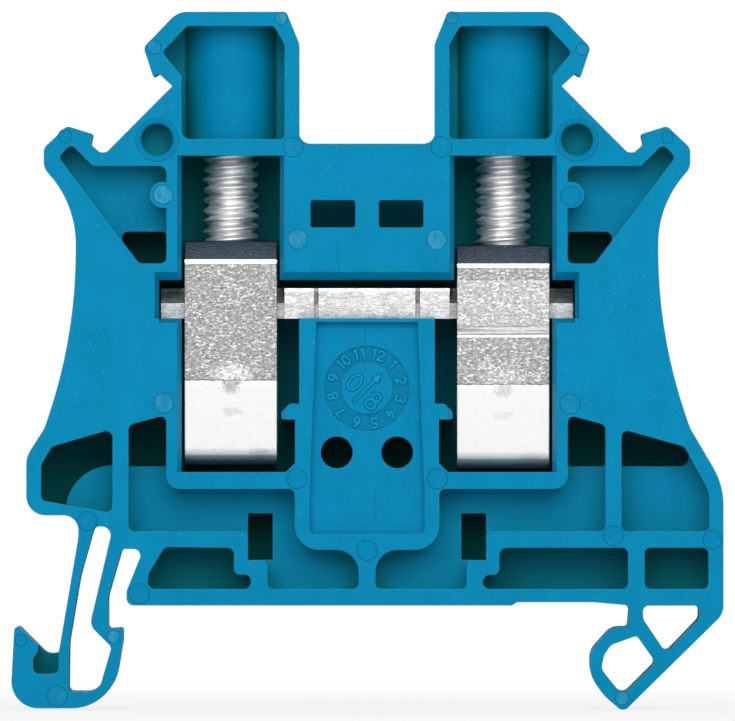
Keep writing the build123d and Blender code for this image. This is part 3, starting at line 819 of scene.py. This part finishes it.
def digit_lines():
    """Centre lines of the ten digits, each about 0.55 wide and 0.92 high round its middle."""
    six = [arc((0.0, -0.2), (0.26, 0.26), 180, -180, 20), arc((0.2, -0.2), (0.46, 0.66), 180, 105)]
    two_hook = arc((0.0, 0.2), (0.26, 0.26), 170, -40)
    three_top = arc((0.0, 0.23), (0.23, 0.23), 150, -90)
    three_bowl = arc((0.0, -0.22), (0.26, 0.24), 88, -150)
    four_angle = np.array([(0.02, 0.46), (-0.26, -0.16), (0.28, -0.16)])
    four_stem = np.array([(0.12, 0.1), (0.12, -0.46)])
    five_bowl = arc((-0.02, -0.18), (0.27, 0.28), 125, -150)
    return {
        "0": [arc((0.0, 0.0), (0.27, 0.46), 0, 360, 28)],
        "1": [np.array([(-0.14, 0.3), (0.06, 0.46), (0.06, -0.46)])],
        "2": [np.concatenate([two_hook, [(-0.27, -0.46), (0.28, -0.46)]])],
        "3": [np.concatenate([three_top, three_bowl])],
        "4": [four_angle, four_stem],
        "5": [np.concatenate([[(0.24, 0.46), (-0.18, 0.46)], five_bowl])],
        "6": six,
        "7": [np.array([(-0.26, 0.46), (0.26, 0.46), (-0.06, -0.46)])],
        "8": [arc((0.0, 0.24), (0.21, 0.22), 0, 360, 20), arc((0.0, -0.22), (0.27, 0.24), 0, 360, 20)],
        "9": [-line for line in six],
    }


def raised_lines(lines, relief, step=0.035 * MM):
    """Points, faces and lift values of figures raised along their centre lines.

    Over a flat grid the height falls with the distance to the nearest line: level on the crest,
    down a slope to a low skirt, and under the dial's face beyond it. Walls and a base close the
    patch from below.
    """
    margin = 0.22 * MM
    widths = np.array([0.02, 0.085, 0.16, 0.21]) * MM
    base_depth = 0.08 * MM
    starts = np.concatenate([line[:-1] for line in lines])
    spans = np.concatenate([line[1:] for line in lines]) - starts
    every = np.concatenate(lines)
    low, high = every.min(axis=0) - margin, every.max(axis=0) + margin
    across, up = [np.arange(low[axis], high[axis], step) for axis in (0, 1)]
    x, y = np.meshgrid(across, up, indexing="ij")
    places = np.stack([x, y], axis=-1)[:, :, None, :] - starts
    squared = np.maximum((spans ** 2).sum(axis=-1), 1e-14)
    share = np.clip((places * spans).sum(axis=-1) / squared, 0.0, 1.0)
    away = np.linalg.norm(places - share[..., None] * spans, axis=-1).min(axis=-1)
    height = np.interp(away, widths, [relief, 0.005 * MM, 0.003 * MM, -0.04 * MM])
    lift = np.interp(away, widths, [1.0, 0.4, 0.0, 0.4])
    rows, columns = x.shape
    index = np.arange(rows * columns).reshape(rows, columns)
    ring = np.concatenate([index[:-1, 0], index[-1, :-1], index[:0:-1, -1], index[0, :0:-1]])
    top = np.column_stack([x.ravel(), y.ravel(), height.ravel()])
    base = top[ring] * [1.0, 1.0, 0.0] - [0.0, 0.0, base_depth]
    centre = base.mean(axis=0)[None, :]
    below = rows * columns + np.arange(len(ring))
    walls = np.stack([ring, below, np.roll(below, -1), np.roll(ring, -1)], axis=-1)
    faces = [grid_faces(rows, columns, wrap=False), walls, fan(below[-1] + 1, below)]
    lift = np.concatenate([lift.ravel(), np.zeros(len(ring) + 1)])
    return np.concatenate([top, base, centre]), faces, lift


def stand_on_dial(points, turn, radius, base_y):
    """Move flat points out from the dial's centre, turn them clockwise and stand them upright."""
    x, up = points[:, 0], points[:, 1] + radius
    across = x * math.cos(turn) + up * math.sin(turn)
    height = -x * math.sin(turn) + up * math.cos(turn)
    return np.column_stack([across, base_y - points[:, 2], DIAL_Z + height])


class FinishHousing(bpy.types.Operator):
    """Give the moulded housing its blue plastic with soft, rubbed edges"""

    bl_idname = "terminal_block.finish_housing"
    bl_label = "Finish housing"

    def execute(self, context):
        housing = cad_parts["housing"]
        dress(housing, moulded_plastic("blue moulded plastic", context.scene.housing_settings))
        return {"FINISHED"}


class AddMouldMarks(bpy.types.Operator):
    """Add the round marks that the ejector pins leave on the open face"""

    bl_idname = "terminal_block.add_mould_marks"
    bl_label = "Add mould marks"

    def execute(self, context):
        settings = context.scene.mould_mark_settings
        # Lifts are shares of the relief, and this one ends a wall inside the housing
        sunk = -5.0
        # Place across, height and radius in millimetres, and how far it is rubbed pale
        marks = np.array([
            (-14.30, 37.48, 0.50, 0.3), (-5.77, 39.40, 0.44, 0.8), (5.70, 39.43, 0.44, 0.3),
            (14.43, 37.32, 0.44, 0.2), (-20.27, 31.51, 0.47, 0.0), (20.17, 31.41, 0.44, 0.0),
            (-4.97, 30.77, 0.70, 0.1), (5.00, 30.77, 0.74, 0.0), (-13.69, 27.58, 0.68, 1.0),
            (13.69, 27.48, 0.70, 0.0), (-4.63, 24.60, 0.70, 0.7), (4.66, 24.56, 0.70, 0.9),
            (-13.66, 13.59, 0.70, 0.6), (13.62, 13.52, 0.70, 0.2), (-18.79, 5.67, 0.69, 0.0),
            (-15.27, 0.79, 0.72, 0.0), (-23.22, -2.32, 0.43, 0.0), (-17.01, -2.11, 0.46, 0.7),
            (-20.81, -6.07, 0.72, 0.2), (-4.70, 8.52, 0.72, 0.0), (4.73, 8.52, 0.72, 0.0),
            (0.0, 3.70, 0.71, 0.0), (16.54, 4.68, 0.70, 0.0), (23.18, 4.43, 0.67, 0.0),
            (17.11, -6.21, 0.50, 0.6),
        ])
        # Rings round the locating holes: place across, height, inner and outer radius
        rings = np.array([(-14.09, 31.26, 1.27, 1.46), (14.09, 31.26, 1.27, 1.46)])
        profiles = []
        for x, z, radius, rub_and_painted_shade in marks * [MM, MM, MM, 1.0]:
            line = settings.rim_width
            radii = [0.0, 0.6 * radius, radius - line, radius - line / 2, radius, radius, 0.0]
            lifts = [0.35, 0.35, 0.35, 1.0, 0.05, sunk, sunk]
            rims = [0, 0, 0, 0.85, 0, 0, 0]
            scuffs = [rub_and_painted_shade, rub_and_painted_shade, rub_and_painted_shade, 0.3 * rub_and_painted_shade, 0, 0, 0]
            profiles.append((x, z, radii, lifts, rims, scuffs))
        for x, z, inner, outer in rings * MM:
            radii = [inner, inner, outer - settings.rim_width, outer, outer, inner]
            lifts = [sunk, 0.1, 0.35, 0.2, sunk, sunk]
            profiles.append((x, z, radii, lifts, [0, 0, 0.1, 0.6, 0, 0], [0] * 6))
        segments = 40
        angle = np.linspace(0.0, 2 * np.pi, segments, endpoint=False)[None, :]
        points, faces, rim, scuff, offset = [], [], [], [], 0
        for x, z, radii, lifts, rims, scuffs in profiles:
            radii = np.array(radii)[:, None]
            depth = FRONT_Y - np.array(lifts)[:, None] * settings.relief + 0 * angle
            turned = [x + radii * np.cos(angle), depth, z + radii * np.sin(angle)]
            points.append(np.stack(turned, axis=-1).reshape(-1, 3))
            faces.append(grid_faces(len(radii), segments) + offset)
            offset += len(radii) * segments
            rim.append(np.repeat(rims, segments))
            scuff.append(np.repeat(scuffs, segments))
        values = {"rim": np.concatenate(rim), "scuff": np.concatenate(scuff)}
        marks_piece = add_mesh("mould_marks", np.concatenate(points), faces, values=values)
        dress(marks_piece, moulded_plastic("marked plastic", context.scene.housing_settings, "marked"))
        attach(marks_piece, "housing")
        return {"FINISHED"}


class AddDialFigures(bpy.types.Operator):
    """Raise the numbers, the arrow and the two digits on the date dial"""

    bl_idname = "terminal_block.add_dial_figures"
    bl_label = "Add dial figures"

    def execute(self, context):
        settings = context.scene.dial_settings
        # The spacing is a share of a number's size, and the turns are clockwise from the top
        spacing, turn_of_zero, turn_of_one = 0.66, math.radians(17.5), math.radians(30.0)
        arrow_turn = math.radians(45.0)
        digit_drop = -0.29
        digits = digit_lines()
        placed = []
        for number in range(1, 13):
            body = str(number)
            lines = []
            for place, digit in enumerate(body):
                aside = np.array([(place - (len(body) - 1) / 2) * spacing, 0.0])
                lines += [(line + aside) * settings.number_height for line in digits[digit]]
            turn = turn_of_zero + turn_of_one * number
            placed.append((lines, turn, settings.number_radius, DIAL_RING_Y))
        for digit, sideways in (("0", -0.88), ("8", 0.9)):
            aside = np.array([sideways, digit_drop]) * MM
            lines = [line * settings.digit_height + aside for line in digits[digit]]
            placed.append((lines, arrow_turn, 0.0, DIAL_DISC_Y))
        shaft = np.array([(0.0, -1.2), (0.0, 1.15)]) * MM
        head = np.array([(-0.17, 0.8), (0.0, 1.22), (0.17, 0.8), (-0.17, 0.8)]) * MM
        placed.append(([shaft, head], arrow_turn, 0.0, DIAL_DISC_Y))
        points, faces, lift, offset = [], [], [], 0
        for lines, turn, radius, base_y in placed:
            flat, flat_faces, flat_lift = raised_lines(lines, settings.relief)
            points.append(stand_on_dial(flat, turn, radius, base_y))
            faces += [group + offset for group in flat_faces]
            lift.append(flat_lift)
            offset += len(flat)
        values = {"lift": np.concatenate(lift)}
        figures = add_mesh("dial_figures", np.concatenate(points), faces, values=values)
        dress(figures, moulded_plastic("dial plastic", context.scene.housing_settings, "raised"))
        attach(figures, "housing")
        return {"FINISHED"}


class AddScrews(bpy.types.Operator):
    """Replace the plain screws by threaded ones with slotted heads"""

    bl_idname = "terminal_block.add_screws"
    bl_label = "Add threaded screws"

    def execute(self, context):
        settings = context.scene.screw_settings
        material = plated_screw("bright zinc plate", settings)
        seat_z = SCREW_TOP_Z - settings.head_height
        shank_top_z = seat_z + 0.1 * MM
        for name, axis_x in (("left_screw", -POLE_X), ("right_screw", POLE_X)):
            thread_points, thread_faces = thread_mesh(settings, axis_x, SCREW_TIP_Z, shank_top_z)
            head_points, head_faces = head_mesh(settings, axis_x, seat_z)
            points = np.concatenate([thread_points, head_points])
            faces = thread_faces + [face + len(thread_points) for face in head_faces]
            screw = add_mesh("threaded_" + name, points, faces, math.radians(50))
            dress(screw, material)
            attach(screw, name)
            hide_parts(name)
        return {"FINISHED"}


class FinishClamps(bpy.types.Operator):
    """Give both clamps their tumbled upper wall and smooth lower wall"""

    bl_idname = "terminal_block.finish_clamps"
    bl_label = "Finish clamps"

    def execute(self, context):
        settings = context.scene.clamp_settings
        # Each clamp: name, colour, share of the painted highlight above the knee, and whether it has
        # the drawn belt
        clamps = (
            ("left_clamp", settings.left_colour, 0.7, False),
            ("right_clamp", settings.right_colour, 0.4, True),
        )
        for name, colour, glow_share, drawn in clamps:
            low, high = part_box(name)
            material = plated_clamp(name + " steel", settings, colour, low, high, glow_share, drawn)
            dress(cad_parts[name], material)
        return {"FINISHED"}


class FinishBar(bpy.types.Operator):
    """Give the current bar its tin plate"""

    bl_idname = "terminal_block.finish_bar"
    bl_label = "Finish current bar"

    def execute(self, context):
        low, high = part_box("current_bar")
        material = tinned_bar("bright tin plate", context.scene.bar_settings, low, high)
        dress(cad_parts["current_bar"], material)
        return {"FINISHED"}


class SetStage(bpy.types.Operator):
    """Set the floor, the white surround, the lamps and the camera"""

    bl_idname = "terminal_block.set_stage"
    bl_label = "Set stage"

    def execute(self, context):
        settings = context.scene.stage_settings
        self.add_floor(settings)
        self.light_surround(context, settings)
        self.add_lamps(context, settings)
        self.add_camera(context, settings)
        context.scene.view_settings.view_transform = "Standard"
        return {"FINISHED"}

    def add_floor(self, settings):
        """A square floor under the feet, flat at their height, that fades to white farther out."""
        low_z = CAD_BOX[0][2]
        half_width, lines = 0.6, 13
        near, far = 0.04, 0.16
        reach = np.linspace(-half_width, half_width, lines)
        x, y = np.meshgrid(reach, reach, indexing="ij")
        points = np.stack([x, y, np.full_like(x, low_z)], axis=-1).reshape(-1, 3)
        floor = add_mesh("floor", points, [grid_faces(lines, lines, wrap=False)])
        material, tree, shader, place = new_material("pale floor")
        shader.inputs["Base Color"].default_value = rgba(settings.floor_colour)
        shader.inputs["Roughness"].default_value = 0.9
        away = add_node(tree, "VectorMath", {0: place}, operation="LENGTH").outputs["Value"]
        glow = add_node(tree, "Emission", {"Color": grey(1.0)})
        far_off = spread(tree, away, near, far, 0.8, 1.0)
        share = times(tree, white_to_camera(tree), far_off)
        mixed = add_node(tree, "MixShader", {0: share, 1: shader.outputs[0], 2: glow.outputs[0]})
        output = tree.nodes["Material Output"]
        tree.links.new(mixed.outputs[0], output.inputs["Surface"])
        dress(floor, material)

    def light_surround(self, context, settings):
        """White to the camera and in reflections, and a plain ambient light on everything."""
        world = bpy.data.worlds.new("studio surround")
        world.use_nodes = True
        tree = world.node_tree
        tree.nodes.clear()
        strength = spread(tree, white_to_camera(tree), 0.0, 1.0, settings.ambient, 1.0)
        glow = add_node(tree, "Background", {"Color": grey(1.0), "Strength": strength})
        output = tree.nodes.new("ShaderNodeOutputWorld")
        tree.links.new(glow.outputs[0], output.inputs["Surface"])
        context.scene.world = world

    def add_lamps(self, context, settings):
        """Two wide soft lamps: a key above the camera and a weaker fill behind the block."""
        # Name, power, degrees above the aim, and side along Y
        lamps = (
            ("key lamp", settings.key_energy, 24.0, -1),
            ("fill lamp", settings.fill_energy, 35.0, 1),
        )
        distance, width, depth = 1.0, 1.0, 0.65
        for name, energy, degrees, side in lamps:
            lamp = bpy.data.lights.new(name, "AREA")
            lamp.shape = "RECTANGLE"
            lamp.size = width
            lamp.size_y = depth
            lamp.energy = energy
            elevation = math.radians(degrees)
            away, up = distance * math.cos(elevation), distance * math.sin(elevation)
            holder = bpy.data.objects.new(name, lamp)
            holder.location = (0.0, side * away, settings.aim_z + up)
            holder.rotation_euler = (-side * (math.pi / 2 - elevation), 0.0, 0.0)
            context.scene.collection.objects.link(holder)

    def add_camera(self, context, settings):
        """A very long lens straight before the open face, framed as the photograph is."""
        camera = bpy.data.cameras.new("camera")
        camera.sensor_width = 36.0
        camera.lens = camera.sensor_width * settings.camera_distance / settings.picture_width
        camera.clip_start = 0.01
        camera.clip_end = 10.0
        holder = bpy.data.objects.new("camera", camera)
        holder.location = (settings.aim_x, FRONT_Y - settings.camera_distance, settings.aim_z)
        holder.rotation_euler = (math.pi / 2, 0.0, 0.0)
        context.scene.collection.objects.link(holder)
        context.scene.camera = holder


class TerminalBlockPanel(bpy.types.Panel):
    """Steps and sizes of the terminal block"""

    bl_idname = "VIEW3D_PT_terminal_block"
    bl_label = "Terminal block"
    bl_space_type = "VIEW_3D"
    bl_region_type = "UI"
    bl_category = "Terminal block"

    def draw(self, context):
        for operator in OPERATORS:
            self.layout.operator(operator.bl_idname)
        for name in SETTINGS:
            group = getattr(context.scene, name)
            box = self.layout.box()
            box.label(text=group.bl_rna.description)
            for key in group.__annotations__:
                box.prop(group, key)


SETTINGS = {
    "housing_settings": HousingSettings,
    "mould_mark_settings": MouldMarkSettings,
    "dial_settings": DialSettings,
    "screw_settings": ScrewSettings,
    "clamp_settings": ClampSettings,
    "bar_settings": BarSettings,
    "stage_settings": StageSettings,
}
OPERATORS = (FinishHousing, AddMouldMarks, AddDialFigures, AddScrews, FinishClamps, FinishBar, SetStage)


def register():
    """Register the settings, the operators and the panel."""
    for name, group in SETTINGS.items():
        bpy.utils.register_class(group)
        setattr(bpy.types.Scene, name, bpy.props.PointerProperty(type=group))
    for operator in OPERATORS:
        bpy.utils.register_class(operator)
    bpy.utils.register_class(TerminalBlockPanel)


def unregister():
    """Take back everything that register added."""
    bpy.utils.unregister_class(TerminalBlockPanel)
    for operator in reversed(OPERATORS):
        bpy.utils.unregister_class(operator)
    for name, group in SETTINGS.items():
        delattr(bpy.types.Scene, name)
        bpy.utils.unregister_class(group)


def main():
    register()
    bpy.ops.terminal_block.finish_housing()
    bpy.ops.terminal_block.add_mould_marks()
    bpy.ops.terminal_block.add_dial_figures()
    bpy.ops.terminal_block.add_screws()
    bpy.ops.terminal_block.finish_clamps()
    bpy.ops.terminal_block.finish_bar()
    bpy.ops.terminal_block.set_stage()


if __name__ == "__main__":
    main()
